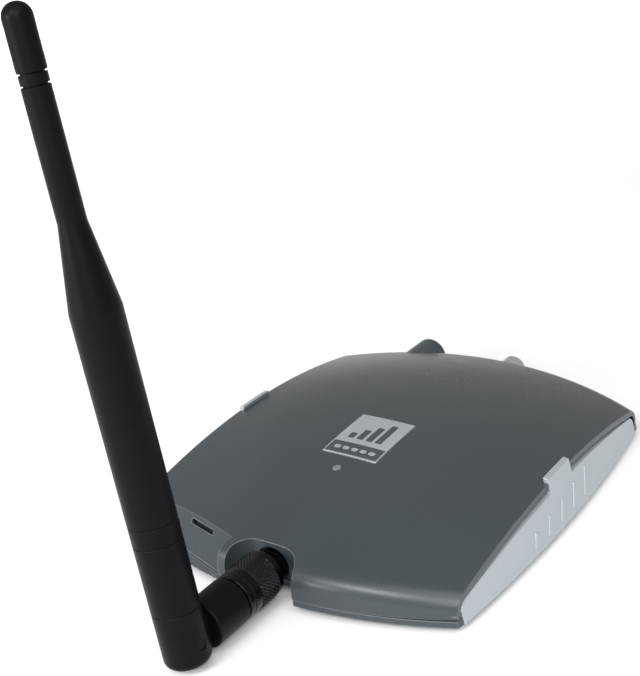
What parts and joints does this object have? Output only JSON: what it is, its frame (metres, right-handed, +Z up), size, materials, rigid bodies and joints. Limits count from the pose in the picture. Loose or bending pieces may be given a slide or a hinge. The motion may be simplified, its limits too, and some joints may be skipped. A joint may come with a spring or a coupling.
{
  "type": "cellular signal booster",
  "caption": "Desktop cellular signal booster: low crowned charcoal case, silver side panels, front bay with coupling nut, swivel elbow and tapered whip antenna, rear coax port and power inlet",
  "frame": {"origin": "centre of the footprint: the bottom centre of the whole object's bounding box at rest, on the table under the rubber feet", "axes": "+X to the right across the case, -Y out of the front where the whip antenna is, +Y out of the rear ports, +Z up"},
  "size_m": [0.1206, 0.1934, 0.1695],
  "materials": {
    "case_charcoal": "fine satin moulded ABS",
    "panel_silver": "silver satin paint over moulded plastic",
    "badge_metal": "brushed and printed foil",
    "clear_lens": "clear moulded light guide",
    "window_black": "smooth black",
    "foot_rubber": "matte",
    "screw_steel": "zinc plated",
    "board_green": "solder mask",
    "shield_steel": "tin plated sheet",
    "spreader_aluminium": "plain",
    "filter_ceramic": "silvered ceramic block",
    "led_body": "clear dome",
    "jack_black": "moulded nylon",
    "contact_brass": "bright",
    "nickel_plate": "nickel plated brass",
    "insulator_white": "PTFE",
    "nut_black": "knurled satin black",
    "whip_black": "satin thermoplastic elastomer"
  },
  "bodies": {
    "housing": {"top_cover": "case_charcoal", "bottom_cover": "case_charcoal", "side_panel_right": "panel_silver", "side_panel_left": "panel_silver", "badge": "badge_metal", "light_pipe": "clear_lens", "status_window": "window_black", "foot_front_right": "foot_rubber", "foot_front_left": "foot_rubber", "foot_rear_right": "foot_rubber", "foot_rear_left": "foot_rubber", "cover_screw_1": "screw_steel", "cover_screw_2": "screw_steel", "cover_screw_3": "screw_steel", "cover_screw_4": "screw_steel", "circuit_board": "board_green", "board_screw_1": "screw_steel", "board_screw_2": "screw_steel", "board_screw_3": "screw_steel", "board_screw_4": "screw_steel", "shield_can_uplink": "shield_steel", "shield_can_downlink": "shield_steel", "heat_spreader": "spreader_aluminium", "filter_uplink": "filter_ceramic", "filter_downlink": "filter_ceramic", "capacitor_1": "spreader_aluminium", "capacitor_2": "spreader_aluminium", "status_led": "led_body", "dc_jack": "jack_black", "dc_pin": "contact_brass", "rear_port_body": "nickel_plate", "rear_port_insulator": "insulator_white", "rear_port_contact": "contact_brass", "antenna_socket": "nut_black", "socket_insulator": "insulator_white", "socket_contact": "contact_brass", "socket_washer": "nut_black", "socket_nut": "nut_black", "socket_jumper": "contact_brass", "plug_body": "contact_brass", "plug_pin": "contact_brass"},
    "nut": {"coupling_nut": "nut_black"},
    "barrel": {"swivel_barrel": "whip_black"},
    "whip": {"whip_fork": "whip_black", "hinge_pin": "whip_black", "whip_base": "whip_black", "whip_band": "whip_black", "whip_sleeve": "whip_black", "tip_ring": "whip_black", "tip_cap": "whip_black", "radiator_rod": "contact_brass", "radiator_tube": "contact_brass"}
  },
  "joints": [
    {"name": "coupling_nut_turn", "type": "hinge", "parent": "housing", "child": "nut", "pos_m": [0, -0.0633, 0.0077], "axis": [0, 1, 0], "continuous": true},
    {"name": "barrel_swivel", "type": "hinge", "parent": "housing", "child": "barrel", "pos_m": [0, -0.0773, 0.0077], "axis": [0, 1, 0], "continuous": true},
    {"name": "whip_tilt", "type": "hinge", "parent": "barrel", "child": "whip", "pos_m": [0, -0.0902, 0.0077], "axis": [0.9921, 0, 0.1253], "range_deg": [0, 90]}
  ]
}
